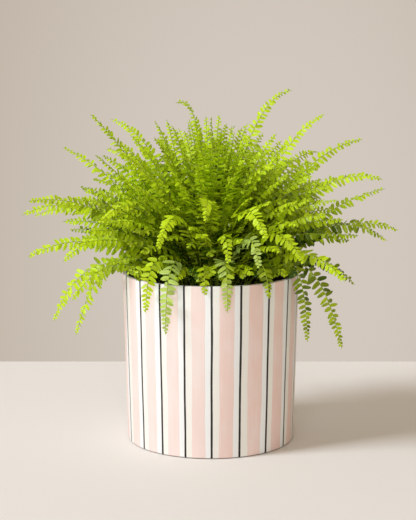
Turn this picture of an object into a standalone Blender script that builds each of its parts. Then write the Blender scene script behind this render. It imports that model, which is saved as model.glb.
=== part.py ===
"""A Boston fern growing in a turned planter: pot, soil, rootstock and fronds.

Metres, +Z up, origin at the centre of the pot's foot on the surface it stands on. The front is at -Y.
Each frond is one thin arched blade, and its leaflets are cut in to the rib. The stalks stand in holes in
the rootstock, and younger fronds are joined to the stalk that they grow beside.
"""

import math
import random
from bisect import bisect_right

import bmesh
import bpy
from mathutils import Matrix, Vector
from mathutils.bvhtree import BVHTree

MM = 0.001
SEAT_GAP = 0.3 * MM
SIDE_GAP = 0.6 * MM
MERGE = 0.01 * MM

# The pot: a slightly tapered cylinder with a thin wall
POT_HEIGHT = 192 * MM
POT_RIM_RADIUS = 100 * MM
POT_FOOT_RADIUS = 95.5 * MM
POT_WALL = 5 * MM
POT_FLOOR = 7 * MM
POT_LIP_ROUND = 1.4 * MM
POT_FOOT_ROUND = 2.2 * MM
POT_STEPS = 48

# The soil, and the recess in it that the rootstock stands in
SOIL_BELOW_RIM = 24 * MM
SOIL_CROWN = 3 * MM
SOIL_STEPS = 24
RECESS_DEPTH = 16 * MM

# The rootstock: the low mound that every frond grows from
STOCK_RADIUS = 56 * MM
STOCK_RISE = 9 * MM
STOCK_STEPS = 24
STOCK_RINGS = (0, 0.35, 0.65, 0.88, 1)
BUD_COUNT = 90
BUD_FIELD = 51 * MM
BUD_ABOVE_STOCK = 1.5 * MM
STALK_SUNK = 7 * MM
HOLE_DEPTH = 7.5 * MM
HOLE_ABOVE = 4 * MM

# A frond: a bare stalk, then leaflets in pairs that shorten towards the tip
BARE_SHARE = 0.22
STALK_HALF_WIDTH = 1.2 * MM
RIB_HALF_WIDTH_AT_TIP = 0.45 * MM
STALK_DEPTH = 2.0 * MM
BLADE_THICKNESS = 0.7 * MM
FIRST_LEAFLET = 0.62
LONGEST_AT = 0.3
LAST_LEAFLET = 0.2
TAPER_POWER = 1.5
LEAFLET_DROOP = 0.16
LEAFLET_POINT = 0.72
END_LEAFLET = 0.8
FEWEST_PAIRS = 4
UPRIGHT_HALF_WIDTH = 9.5 * MM
SPREAD_HALF_WIDTH = 13 * MM
SPREAD_REACH = 150 * MM
YOUNG_HALF_WIDTH = 7.5 * MM
LEADER_PITCH = 24 * MM
YOUNG_PITCH = 23 * MM
UPRIGHT_TURN = math.radians(78)
SPREAD_TURN = math.radians(46)
TURNED_BY = 0.6
RANDOM_ROLL = math.radians(14)

# Room that a frond keeps to the others, and how far it may lean to find that room
SLEEVE_ROOM = 0.5 * MM
STALK_FACES = 20  # the sleeve's faces along the bare stalk
LEAN_TRIES = 140
YOUNG_TRIES = 60
LEAN_TURN = math.radians(1.8)
LEAN_LIFT = 3.2 * MM
LEAN_SHRINK = 0.0016
CREST_FOLLOWS = 0.6

GOLDEN_ANGLE = math.radians(137.508)

# The long fronds as (direction, reach of the tip, height of the tip, reach of the crest, height of
# the crest), in degrees and millimetres. Direction 0 is to the right, 180 to the left, 270 to the front.
# The crest is the point that the frond heads for as it leaves the rootstock, before its tip arches over.
LEADERS = [
    # those that hang over the rim
    (176, 156, 115, 118, 262), (184, 181, 136, 138, 248), (350, 150, 108, 116, 262),
    (332, 121, 122, 116, 275), (245, 115, 141, 112, 272), (236, 116, 163, 110, 266),
    (279, 113, 166, 110, 266), (303, 114, 178, 108, 255), (258, 107, 190, 98, 250),
    (64, 160, 152, 118, 262), (116, 150, 138, 114, 262),
    # left side, from the lowest tip to the highest
    (197, 163, 163, 112, 240), (181, 214, 198, 120, 250), (171, 215, 245, 120, 286),
    (188, 212, 260, 118, 303), (199, 208, 280, 115, 292), (168, 173, 330, 88, 294),
    (200, 134, 328, 72, 284), (186, 138, 363, 70, 305), (160, 122, 362, 52, 345),
    # right side, from the lowest tip to the highest
    (352, 170, 174, 106, 240), (20, 152, 180, 104, 232), (319, 190, 200, 114, 262),
    (34, 200, 225, 128, 268), (342, 205, 230, 128, 283), (357, 212, 245, 120, 276),
    (5, 204, 287, 120, 270), (28, 188, 292, 110, 290), (352, 192, 299, 116, 325),
    (12, 178, 339, 97, 330), (350, 127, 371, 68, 343),
    # the top
    (8, 92, 396, 38, 391), (195, 40, 383, 2, 400), (300, 52, 360, 24, 345),
    (128, 40, 362, 20, 325), (172, 50, 363, 30, 292), (310, 40, 352, 22, 290),
    # those that lean to the front
    (294, 125, 214, 100, 285), (279, 118, 219, 92, 290), (323, 135, 285, 66, 262),
    (208, 180, 225, 112, 280), (225, 165, 262, 95, 318), (250, 160, 240, 90, 318),
    (268, 150, 268, 82, 330), (290, 165, 250, 90, 322), (306, 172, 235, 100, 300),
    (300, 132, 320, 66, 335), (264, 104, 336, 50, 345),
    # those that lean to the back
    (52, 190, 214, 116, 270), (96, 198, 226, 118, 276), (148, 188, 206, 116, 264),
    (74, 192, 262, 108, 300), (126, 196, 244, 112, 290), (106, 182, 292, 98, 312),
    (42, 176, 318, 100, 326), (138, 170, 322, 86, 322), (86, 150, 340, 70, 336),
]

# The younger fronds fill a dome among the long ones
YOUNG_COUNT = 108
DOME_BASE = 215 * MM
DOME_RADIUS = 132 * MM
DOME_HEIGHT = 142 * MM
DOME_INNER_SHARE = 0.68
YOUNG_ARCH = 42 * MM
YOUNG_CREST_SHARE = 0.45
YOUNG_ROOT_SHARE = 0.25
YOUNG_HOSTS = 4
MOST_YOUNG = 4


def clear_scene():
    for thing in list(bpy.data.objects):
        bpy.data.objects.remove(thing)


def material(name, colour, roughness):
    made = bpy.data.materials.new(name)
    made.use_nodes = True
    shader = made.node_tree.nodes["Principled BSDF"]
    shader.inputs["Base Color"].default_value = (*colour, 1)
    shader.inputs["Roughness"].default_value = roughness
    shader.inputs["Metallic"].default_value = 0
    made.diffuse_color = (*colour, 1)
    return made


def add_object(name, mesh, collection, finish):
    made = bpy.data.objects.new(name, mesh)
    collection.objects.link(made)
    mesh.materials.append(finish)
    return made


def turned(name, profile, steps, collection, finish):
    """A solid turned about Z from a profile of (radius, height) that ends on the axis at both ends."""
    mesh = bpy.data.meshes.new(name)
    mesh.from_pydata([(r, 0, z) for r, z in profile], [(i, i + 1) for i in range(len(profile) - 1)], [])
    made = add_object(name, mesh, collection, finish)
    screw = made.modifiers.new("turn", "SCREW")
    screw.steps = screw.render_steps = steps
    screw.use_merge_vertices = True
    screw.merge_threshold = MERGE
    screw.use_smooth_shade = True
    return made


def arc(centre, radius, start, end, count):
    """Points on a circle in the profile's plane, from start to end in degrees."""
    angles = [math.radians(start + (end - start) * i / (count - 1)) for i in range(count)]
    return [(centre[0] + radius * math.cos(a), centre[1] + radius * math.sin(a)) for a in angles]


def outer_radius(height):
    return POT_FOOT_RADIUS + (POT_RIM_RADIUS - POT_FOOT_RADIUS) * height / POT_HEIGHT


def make_pot(collection, finish):
    lip = POT_LIP_ROUND
    inner_top = (POT_RIM_RADIUS - POT_WALL + lip, POT_HEIGHT - lip)
    outer_top = (POT_RIM_RADIUS - lip, POT_HEIGHT - lip)
    foot = (POT_FOOT_RADIUS - POT_FOOT_ROUND, POT_FOOT_ROUND)
    inner_foot = outer_radius(POT_FLOOR) - POT_WALL
    profile = [(0, POT_FLOOR), (inner_foot, POT_FLOOR)]
    profile += arc(inner_top, lip, 180, 90, 3) + arc(outer_top, lip, 90, 0, 3)
    profile += arc(foot, POT_FOOT_ROUND, 0, -90, 3) + [(0, 0)]
    return turned("pot", profile, POT_STEPS, collection, finish)


def stock_height(radius):
    """The rootstock's upper surface: a low dome that meets the soil at its edge."""
    return POT_HEIGHT - SOIL_BELOW_RIM + STOCK_RISE * (1 - (radius / STOCK_RADIUS) ** 2)


def make_soil(collection, finish):
    top = POT_HEIGHT - SOIL_BELOW_RIM
    recess = STOCK_RADIUS + SIDE_GAP
    low_edge = outer_radius(POT_FLOOR) - POT_WALL - SIDE_GAP
    top_edge = outer_radius(top) - POT_WALL - SIDE_GAP
    middle = (recess + top_edge) / 2
    profile = [(0, top - RECESS_DEPTH), (recess, top - RECESS_DEPTH), (recess, top)]
    profile += [(middle, top + SOIL_CROWN), (top_edge, top - SOIL_CROWN)]
    profile += [(low_edge, POT_FLOOR + SEAT_GAP), (0, POT_FLOOR + SEAT_GAP)]
    return turned("soil", profile, SOIL_STEPS, collection, finish)


def make_rootstock(collection, finish):
    top = POT_HEIGHT - SOIL_BELOW_RIM
    rings = [STOCK_RADIUS * share for share in STOCK_RINGS]
    profile = [(radius, stock_height(radius)) for radius in rings]
    profile += [(STOCK_RADIUS, top - RECESS_DEPTH + SEAT_GAP), (0, top - RECESS_DEPTH + SEAT_GAP)]
    return turned("rootstock", profile, STOCK_STEPS, collection, finish)


class Rib:
    """A frond's arched midline: leaves the root towards the crest and bends over to the tip."""

    SAMPLES = 48

    def __init__(self, root, crest, tip, half_width, pitch, roll):
        self.root, self.crest, self.tip = root, crest, tip
        self.half_width, self.pitch, self.roll = half_width, pitch, roll
        across = Vector((root.y - tip.y, tip.x - root.x, 0))
        self.across = across.normalized()
        places = [self.place(i / self.SAMPLES) for i in range(self.SAMPLES + 1)]
        self.run = [0.0]
        for before, after in zip(places, places[1:]):
            self.run.append(self.run[-1] + (after - before).length)
        self.length = self.run[-1]

    def place(self, t):
        return self.root * (1 - t) ** 2 + self.crest * (2 * t * (1 - t)) + self.tip * t ** 2

    def heading(self, t):
        return ((self.crest - self.root) * (1 - t) + (self.tip - self.crest) * t).normalized()

    def at(self, share):
        """Place, side and upward directions at a share of the rib's length."""
        goal = min(max(share, 0), 1) * self.length
        i = min(bisect_right(self.run, goal) - 1, self.SAMPLES - 1)
        t = (i + (goal - self.run[i]) / (self.run[i + 1] - self.run[i])) / self.SAMPLES
        ahead = self.heading(t)
        side = (self.across - ahead * self.across.dot(ahead)).normalized()
        up = ahead.cross(side)
        angle = self.roll * min(1, share / TURNED_BY)
        return (self.place(t), side * math.cos(angle) + up * math.sin(angle),
                up * math.cos(angle) - side * math.sin(angle))


def leaflet_length(rib, share):
    """Leaflets are longest a third of the way along the leafy stretch and shorten to the tip."""
    along = (share - BARE_SHARE) / (1 - BARE_SHARE)
    if along < 0:
        return 0
    if along < LONGEST_AT:
        return rib.half_width * (FIRST_LEAFLET + (1 - FIRST_LEAFLET) * along / LONGEST_AT)
    taper = ((along - LONGEST_AT) / (1 - LONGEST_AT)) ** TAPER_POWER
    return rib.half_width * (1 - (1 - LAST_LEAFLET) * taper)


def rib_half_width(share):
    return STALK_HALF_WIDTH + (RIB_HALF_WIDTH_AT_TIP - STALK_HALF_WIDTH) * share


def blade_depth(share):
    """The blade is deepest at the foot of the stalk."""
    return BLADE_THICKNESS + (STALK_DEPTH - BLADE_THICKNESS) * (1 - math.sqrt(share))


def stations(rib):
    """Shares of the rib's length at the foot, half up the stalk and where leaflets start and end."""
    pairs = max(FEWEST_PAIRS, round(rib.length * (1 - BARE_SHARE) / rib.pitch))
    step = (1 - BARE_SHARE) / (pairs + END_LEAFLET)
    return [0, BARE_SHARE / 2] + [BARE_SHARE + k * step for k in range(pairs + 1)], step


def rib_edge(rib, share, sign):
    """A point on the rib's left or right edge, and the way up there."""
    place, side, up = rib.at(share)
    return place + side * sign * rib_half_width(share), up


def leaflet_point(rib, start, step, sign):
    """The point of the leaflet that starts at this share, lowered by its droop, and the way up there."""
    share = start + step * LEAFLET_POINT
    place, side, up = rib.at(share)
    long = leaflet_length(rib, share)
    return place + side * sign * (rib_half_width(share) + long) - up * LEAFLET_DROOP * long, up


def sleeve(rib):
    """Points and triangles of a closed web over the frond's leaflets, with a little room all round."""
    shares, step = stations(rib)
    points, faces = [], []
    for k, share in enumerate(shares + [1]):
        leafy = 1 < k < len(shares) - 1
        place, _, up = rib.at(share)
        ring = [(place, up)]
        for sign in (-1, 1):
            edge, up = leaflet_point(rib, share, step, sign) if leafy else rib_edge(rib, share, sign)
            ring.append((edge + (edge - place).normalized() * SLEEVE_ROOM, up))
        points += [point + up * SLEEVE_ROOM for point, up in ring]
        points += [point - up * (SLEEVE_ROOM + blade_depth(share)) for point, up in ring]
    ring_points = len(ring) * 2
    below = len(ring)
    for start in range(0, len(points) - ring_points, ring_points):
        for middle in (start, start + below):
            ahead = middle + ring_points
            for edge in (middle + 1, middle + 2):
                faces += [(middle, ahead, edge), (ahead, edge + ring_points, edge)]
        for edge in (start + 1, start + 2):
            faces.append((edge, edge + ring_points, edge + ring_points + below, edge + below))
    return points, faces


class Room:
    """What stands already, so that the next frond can be bent clear of it."""

    def __init__(self, solids):
        graph = bpy.context.evaluated_depsgraph_get()
        self.solids = [BVHTree.FromObject(solid, graph) for solid in solids]
        self.points, self.faces, self.owners = [], [], []
        self.fronds = BVHTree.FromPolygons([(0, 0, 0)] * 3, [(0, 1, 2)])

    def clear(self, tree, owner):
        """Fronds of one owner are joined at the foot, so their stalks may touch."""
        if any(tree.overlap(solid) for solid in self.solids):
            return False
        return all(mine < STALK_FACES and self.owners[face] == owner
                   for mine, face in tree.overlap(self.fronds))

    def take(self, points, faces, owner):
        self.owners += [owner] * len(faces)
        start = len(self.points)
        self.points += points
        self.faces += [tuple(start + i for i in face) for face in faces]
        self.fronds = BVHTree.FromPolygons(self.points, self.faces)


def frond_rib(root, direction, tip, crest, half_width, pitch, roll):
    """tip and crest are (reach, height) in the upright plane at that direction from the pot's axis."""
    outward = Vector((math.cos(direction), math.sin(direction), 0))
    up = Vector((0, 0, 1))
    return Rib(root, outward * crest[0] + up * crest[1], outward * tip[0] + up * tip[1],
               half_width, pitch, roll)


def bent_clear(make_rib, room, owner, tries):
    """The first of a spiral of small turns and lifts at which the frond crosses nothing. The further it
    has to lean, the shorter it stays."""
    for step in range(tries):
        spread = math.sqrt(step)
        turn = LEAN_TURN * spread * math.cos(step * GOLDEN_ANGLE)
        lift = LEAN_LIFT * spread * math.sin(step * GOLDEN_ANGLE)
        rib = make_rib(turn, lift, 1 - LEAN_SHRINK * step)
        points, faces = sleeve(rib)
        if room.clear(BVHTree.FromPolygons(points, faces), owner):
            room.take(points, faces, owner)
            return rib
    return None


def blade(name, rib, collection, finish, sunk=0):
    """The frond's upper surface, a strip along the rib with a pointed leaflet on each side of each step,
    thickened downwards, deepest at the stalk. Its foot goes on straight for the sunk length."""
    bm = bmesh.new()
    weight = bm.verts.layers.deform.verify()

    def corner(point, share):
        vert = bm.verts.new(point)
        vert[weight][0] = (blade_depth(share) - BLADE_THICKNESS) / (STALK_DEPTH - BLADE_THICKNESS)
        return vert

    shares, step = stations(rib)
    edges = {}
    for sign in (-1, 1):
        edges[sign] = [corner(rib_edge(rib, share, sign)[0], share) for share in shares]
        for share, foot, end in list(zip(shares, edges[sign], edges[sign][1:]))[2:]:
            point = corner(leaflet_point(rib, share, step, sign)[0], 1)
            bm.faces.new((foot, end, point) if sign > 0 else (foot, point, end))
        if sunk:
            edges[sign].insert(0, corner(rib_edge(rib, 0, sign)[0] - rib.heading(0) * sunk, 0))
    left, right = edges[-1], edges[1]
    for k in range(len(left) - 1):
        bm.faces.new((right[k], left[k], left[k + 1]))
        bm.faces.new((right[k], left[k + 1], right[k + 1]))
    bm.faces.new((right[-1], left[-1], corner(rib.tip, 1)))
    mesh = bpy.data.meshes.new(name)
    bm.to_mesh(mesh)
    bm.free()
    made = add_object(name, mesh, collection, finish)
    made.vertex_groups.new(name="depth")
    thick = made.modifiers.new("thickness", "SOLIDIFY")
    thick.thickness = STALK_DEPTH
    thick.offset = -1
    thick.vertex_group = "depth"
    thick.thickness_vertex_group = BLADE_THICKNESS / STALK_DEPTH
    return made


def hole_cutter(name, rib, collection):
    """A bar along the stalk's foot, larger all round than the stalk by the seat's gap."""
    _, side, up = rib.at(0)
    along = rib.heading(0)
    wide, deep = STALK_HALF_WIDTH * 2 + SEAT_GAP * 2, STALK_DEPTH + SEAT_GAP * 2
    middle = rib.root - along * (HOLE_DEPTH - HOLE_ABOVE) / 2 - up * STALK_DEPTH / 2
    turn = Matrix((side, up, along)).transposed().to_4x4()
    size = Matrix.Diagonal((wide, deep, HOLE_DEPTH + HOLE_ABOVE, 1))
    bm = bmesh.new()
    bmesh.ops.create_cube(bm, size=1, matrix=Matrix.Translation(middle) @ turn @ size)
    mesh = bpy.data.meshes.new(name)
    bm.to_mesh(mesh)
    bm.free()
    made = bpy.data.objects.new(name, mesh)
    collection.objects.link(made)
    made.hide_render = True
    made.display_type = "WIRE"


def drill(stock, ribs):
    """A hole in the rootstock for each stalk's foot."""
    cutters = bpy.data.collections.new("stalk_holes")
    bpy.context.scene.collection.children.link(cutters)
    for number, rib in enumerate(ribs):
        hole_cutter(f"stalk_hole_{number + 1:02d}", rib, cutters)
    cut = stock.modifiers.new("stalk_holes", "BOOLEAN")
    cut.operation = "DIFFERENCE"
    cut.operand_type = "COLLECTION"
    cut.collection = cutters


def as_mesh(solid, name):
    """The object's evaluated mesh as a new object in place of it."""
    graph = bpy.context.evaluated_depsgraph_get()
    mesh = bpy.data.meshes.new_from_object(solid.evaluated_get(graph))
    made = bpy.data.objects.new(name, mesh)
    solid.users_collection[0].objects.link(made)
    bpy.data.objects.remove(solid)
    made.name = name


def fused(name, base, others):
    """One body of a long frond and the younger ones that grow from its foot."""
    group = bpy.data.collections.new(name + "_young")
    for other in others:
        group.objects.link(other)
    union = base.modifiers.new("join", "BOOLEAN")
    union.operation = "UNION"
    union.operand_type = "COLLECTION"
    union.collection = group
    union.solver = "MANIFOLD"
    as_mesh(base, name)
    for other in others:
        bpy.data.objects.remove(other)
    bpy.data.collections.remove(group)


def bud_places():
    """Buds spread evenly over the rootstock, as seeds do in a sunflower."""
    buds = []
    for i in range(BUD_COUNT):
        radius = BUD_FIELD * math.sqrt((i + 0.5) / BUD_COUNT)
        angle = i * GOLDEN_ANGLE
        height = stock_height(radius) + BUD_ABOVE_STOCK
        buds.append(Vector((radius * math.cos(angle), radius * math.sin(angle), height)))
    return buds


def nearest(places, goal):
    return min(places, key=lambda place: (place - goal).length)


def roll_of(direction, spread, draw):
    """Faces turn to the light in front, most of all on upright fronds that lean to the sides."""
    turn = UPRIGHT_TURN + (SPREAD_TURN - UPRIGHT_TURN) * spread
    return turn * math.cos(direction) + draw.uniform(-RANDOM_ROLL, RANDOM_ROLL)


def bud_reach(crest_reach, crest_height):
    """The flatter a frond leaves, the further out on the rootstock its bud is."""
    flatness = crest_reach / (crest_height - stock_height(STOCK_RADIUS))
    return BUD_FIELD * max(-1, min(1, flatness))


def grow_leaders(room, draw):
    """A rib for each long frond, rooted at the free bud nearest to where it heads."""
    buds = bud_places()
    grown = []
    for degrees, *sizes in LEADERS:
        tip_reach, tip_height, crest_reach, crest_height = (size * MM for size in sizes)
        direction = math.radians(degrees)
        out = bud_reach(crest_reach, crest_height)
        bud = nearest(buds, Vector((out * math.cos(direction), out * math.sin(direction), POT_HEIGHT)))
        buds.remove(bud)
        spread = min(1, tip_reach / SPREAD_REACH)
        roll = roll_of(direction, spread, draw)
        half_width = UPRIGHT_HALF_WIDTH + (SPREAD_HALF_WIDTH - UPRIGHT_HALF_WIDTH) * spread

        def lean(turn, lift, share):
            crest = (crest_reach, crest_height + lift * CREST_FOLLOWS)
            return frond_rib(bud, direction + turn, (tip_reach * share, tip_height + lift), crest,
                             half_width, LEADER_PITCH, roll)

        rib = bent_clear(lean, room, len(grown), LEAN_TRIES)
        if rib:
            grown.append(rib)
    return grown


def inside_stalk(rib):
    """A point in the middle of the stalk's lowest stretch, where a younger frond is joined to it."""
    foot, _, up = rib.at(0)
    above = rib.at(stations(rib)[0][1])[0]
    return foot.lerp(above, YOUNG_ROOT_SHARE) - up * (STALK_DEPTH / 2)


def grow_young(room, leaders, draw):
    """The younger fronds' ribs, from the most upright down: a list for each long frond they join."""
    young = [[] for _ in leaders]
    for i in reversed(range(YOUNG_COUNT)):
        direction = i * GOLDEN_ANGLE
        rise = (i + 0.5) / YOUNG_COUNT
        shell = draw.uniform(DOME_INNER_SHARE, 1)
        reach = DOME_RADIUS * math.sqrt(1 - rise ** 2) * shell
        height = DOME_BASE + DOME_HEIGHT * rise * shell
        crest_height = (stock_height(0) + height) / 2 + YOUNG_ARCH
        roll = roll_of(direction, min(1, reach / SPREAD_REACH), draw)
        out = bud_reach(reach * YOUNG_CREST_SHARE, crest_height)
        goal = Vector((out * math.cos(direction), out * math.sin(direction), stock_height(0)))
        hosts = [n for n in range(len(leaders)) if len(young[n]) < MOST_YOUNG]
        for number in sorted(hosts, key=lambda n: (leaders[n].root - goal).length)[:YOUNG_HOSTS]:
            root = inside_stalk(leaders[number])

            def lean(turn, lift, share):
                return frond_rib(root, direction + turn, (reach * share, height * share + lift),
                                 (reach * YOUNG_CREST_SHARE, crest_height * share + lift * CREST_FOLLOWS),
                                 YOUNG_HALF_WIDTH, YOUNG_PITCH, roll)

            rib = bent_clear(lean, room, number, YOUNG_TRIES)
            if rib:
                young[number].append(rib)
                break
    return young


def main():
    clear_scene()
    plant = bpy.data.collections.new("potted_boston_fern")
    bpy.context.scene.collection.children.link(plant)
    glaze = material("glazed_ceramic", (0.86, 0.72, 0.66), 0.35)
    earth = material("potting_soil", (0.035, 0.022, 0.014), 0.95)
    stock = material("rootstock", (0.09, 0.055, 0.025), 0.9)
    leaf = material("fern_leaf", (0.24, 0.40, 0.02), 0.5)

    solids = [make_pot(plant, glaze), make_soil(plant, earth), make_rootstock(plant, stock)]
    bpy.context.view_layer.update()
    room = Room(solids)
    draw = random.Random(11)
    leaders = grow_leaders(room, draw)
    young = grow_young(room, leaders, draw)
    drill(solids[-1], leaders)
    for number, rib in enumerate(leaders):
        name = f"frond_{number + 1:02d}"
        base = blade(name, rib, plant, leaf, STALK_SUNK)
        others = [blade(f"{name}_young_{k}", other, plant, leaf) for k, other in enumerate(young[number])]
        if others:
            fused(name, base, others)


main()
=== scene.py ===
# %% [markdown]
# A Boston fern in a striped planter.
# The plant is a rootstock in soil, with some sixty long fronds that arch out of it, as many younger
# ones between them, and an undergrowth of short ones. Each frond is a thin stalk with a row of
# small oval leaflets on either side. The planter is a plain turned pot with upright stripes painted
# by hand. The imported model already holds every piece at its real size, so the script loads it first
# and then replaces the coarse pieces with fine ones in the same places.

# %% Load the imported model
import math
import random
from bisect import bisect_right

import bmesh
import bpy
import numpy as np
from mathutils import Matrix, Vector
from mathutils.bvhtree import BVHTree


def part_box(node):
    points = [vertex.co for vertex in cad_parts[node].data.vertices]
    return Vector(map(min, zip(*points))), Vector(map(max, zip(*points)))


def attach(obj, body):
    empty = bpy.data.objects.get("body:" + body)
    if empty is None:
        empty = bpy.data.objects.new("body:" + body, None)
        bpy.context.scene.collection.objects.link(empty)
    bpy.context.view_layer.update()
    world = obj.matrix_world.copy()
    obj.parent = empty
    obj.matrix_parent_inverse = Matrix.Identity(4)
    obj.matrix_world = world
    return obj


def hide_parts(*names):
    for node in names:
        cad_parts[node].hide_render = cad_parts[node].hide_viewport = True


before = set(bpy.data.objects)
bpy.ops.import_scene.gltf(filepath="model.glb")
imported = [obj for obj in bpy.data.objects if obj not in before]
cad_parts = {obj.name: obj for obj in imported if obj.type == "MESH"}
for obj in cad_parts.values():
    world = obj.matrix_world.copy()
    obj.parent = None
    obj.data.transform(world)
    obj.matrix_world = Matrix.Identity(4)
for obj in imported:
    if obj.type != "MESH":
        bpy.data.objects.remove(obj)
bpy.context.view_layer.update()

MM = 0.001
UP = Vector((0, 0, 1))
print("packed nodes:", len(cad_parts))

# %% [markdown]
# The camera stands a metre and a half in front of the pot, a little above the foliage, and looks
# down on it by nine degrees with a long lens, so that the pot's sides stay almost upright. A long
# lens far away and a short lens close by can frame a pot alike, but only one of them gives both the
# rim's ellipse and the slight taper that are seen here.

# %% The camera
CAMERA_PLACE = Vector((-3.1, -1536, 453)) * MM
CAMERA_TILT = math.radians(9.18)
LENS = 94.85
SENSOR = 36

bpy.ops.object.select_all(action="DESELECT")
bpy.ops.object.camera_add(location=CAMERA_PLACE, rotation=(math.radians(90) - CAMERA_TILT, 0, 0))
camera = bpy.context.object
camera.data.lens = LENS
camera.data.sensor_width = SENSOR
bpy.context.scene.camera = camera
bpy.context.scene.view_settings.view_transform = "Standard"
print("camera looks down by", round(math.degrees(CAMERA_TILT), 1), "degrees")

# %% [markdown]
# A finish is a small tree of nodes. Written node by node it hides what it says, so one class wraps
# an output socket and gives it Python's arithmetic: an expression such as 1 - mask then adds the
# Math node by itself. Every other kind of node comes from one method, which takes its type, its
# settings and what its sockets get.


# %% Classes for shader arithmetic
def math_node(operation):
    return lambda wire, *others: wire.finish.maths(operation, wire, *others)


class Wire:
    """An output socket of a finish. Arithmetic with it adds Math nodes to that finish."""

    def __init__(self, finish, socket):
        self.finish, self.socket = finish, socket

    def __rsub__(self, other):
        return self.finish.maths("SUBTRACT", other, self)

    __add__ = __radd__ = math_node("ADD")
    __mul__ = __rmul__ = math_node("MULTIPLY")
    __sub__ = math_node("SUBTRACT")
    __mod__ = math_node("MODULO")
    __abs__ = math_node("ABSOLUTE")
    __floor__ = math_node("FLOOR")
    __round__ = math_node("ROUND")


class Finish:
    """A material under way: a Principled shader, and the nodes that feed it."""

    def __init__(self, name):
        self.material = bpy.data.materials.new(name)
        self.material.use_nodes = True
        self.nodes = self.material.node_tree.nodes
        self.links = self.material.node_tree.links
        self.shader = self.nodes["Principled BSDF"]

    def node(self, kind, settings, sockets):
        made = self.nodes.new(kind)
        for name, value in (settings or {}).items():
            setattr(made, name, value)
        for name, value in (sockets or {}).items():
            self.feed(made.inputs[name], value)
        return made

    def wire(self, kind, output, settings=None, sockets=None):
        return Wire(self, self.node(kind, settings, sockets).outputs[output])

    def feed(self, socket, value):
        if isinstance(value, Wire):
            self.links.new(value.socket, socket)
        else:
            socket.default_value = value

    def surface(self, specular=0.5, **values):
        self.feed(self.shader.inputs["Specular IOR Level"], specular)
        for name, value in values.items():
            self.feed(self.shader.inputs[name.replace("_", " ").title()], value)

    def output(self, shader):
        self.feed(self.nodes["Material Output"].inputs["Surface"], shader)

    def maths(self, operation, *values):
        return self.wire("ShaderNodeMath", 0, {"operation": operation}, dict(enumerate(values)))

    def mix(self, factor, first, second):
        """A colour between two others."""
        sockets = {0: factor, 6: first, 7: second}
        return self.wire("ShaderNodeMix", 2, {"data_type": "RGBA"}, sockets)

    def ease(self, value, low, high):
        """0 below low, 1 above high, smooth between."""
        settings = {"interpolation_type": "SMOOTHSTEP"}
        return self.wire("ShaderNodeMapRange", 0, settings, {0: value, 1: low, 2: high})

    def place(self):
        return self.wire("ShaderNodeTexCoord", "Object")

    def parts(self, vector):
        """The three numbers of a vector."""
        split = self.node("ShaderNodeSeparateXYZ", None, {0: vector})
        return [Wire(self, output) for output in split.outputs]

    def noise(self, place, scale, detail=2):
        sockets = {"Vector": place, "Scale": scale, "Detail": detail}
        return self.wire("ShaderNodeTexNoise", "Fac", None, sockets)

    def cells(self, place, scale):
        sockets = {"Vector": place, "Scale": scale}
        return self.wire("ShaderNodeTexVoronoi", "Distance", None, sockets)

    def bump(self, height, distance):
        return self.wire("ShaderNodeBump", 0, None, {"Height": height, "Distance": distance})


# %% [markdown]
# The pot stands on a pale table in front of a plain wall. The wall lights itself a little instead
# of being lit, so that it stays as even as a wall a few metres off, and it is clear from behind so
# that a view from the back looks through it. Its glow is a painted pool of light, brightest a little
# right of the pot's axis and low down, that fades to a painted shade towards its edges.

# %% The table and the wall
WALL_BEHIND = 363 * MM
STAGE_SIZE = 12
WALL_HEIGHT = 3
TABLE_COLOUR = (0.81, 0.77, 0.73, 1)
# painted light: the wall's glow is brightest in its middle and darkens to a painted shade at its
# edges
WALL_LIT_COLOUR = (0.645, 0.577, 0.508, 1)
WALL_SHADE_COLOUR = (0.51, 0.445, 0.37, 1)
WALL_LIGHT_X, WALL_LIGHT_Z = 0.08, 0.15
WALL_LIGHT_TALLER = 0.6
WALL_LIGHT_ENDS = (0.12, 0.55)

table_finish = Finish("stage_table")
table_finish.surface(base_color=TABLE_COLOUR, roughness=0.6, specular=0.15)
bpy.ops.object.select_all(action="DESELECT")
bpy.ops.mesh.primitive_plane_add(size=STAGE_SIZE)
table = bpy.context.object
table.name = "table"
table.data.materials.append(table_finish.material)

wall_finish = Finish("stage_wall")
wall_x, _, wall_z = wall_finish.parts(wall_finish.place())
across = wall_x - WALL_LIGHT_X
above = (wall_z - WALL_LIGHT_Z) * WALL_LIGHT_TALLER
away = wall_finish.maths("SQRT", across * across + above * above)
# a painted pool of light on the wall, fading to painted shade away from its middle
glow = wall_finish.mix(wall_finish.ease(away, *WALL_LIGHT_ENDS), WALL_LIT_COLOUR, WALL_SHADE_COLOUR)
lit = wall_finish.wire("ShaderNodeEmission", 0, None, {"Color": glow, "Strength": 1.0})
clear = wall_finish.wire("ShaderNodeBsdfTransparent", 0)
back = wall_finish.wire("ShaderNodeNewGeometry", "Backfacing")
wall_finish.output(wall_finish.wire("ShaderNodeMixShader", 0, None, {0: back, 1: lit, 2: clear}))
bpy.ops.mesh.primitive_plane_add(size=1, location=(0, WALL_BEHIND, WALL_HEIGHT / 2),
                                 rotation=(math.radians(90), 0, 0))
wall = bpy.context.object
wall.name = "wall"
wall.scale = (STAGE_SIZE, WALL_HEIGHT, 1)
bpy.ops.object.transform_apply()
wall.data.materials.append(wall_finish.material)
print("the wall stands", WALL_BEHIND, "m behind the pot's axis")

# %% [markdown]
# A window on the left does most of the work: a large lamp, far off, a little in front and almost
# halfway up, which throws the pot's soft shadow to the right. A second lamp stands low behind the
# camera. It carries the light round the pot, and its own shadow falls behind the pot, where nobody
# sees it. The room around fills the shadows with an even light that is warmer than the lamps.

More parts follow.
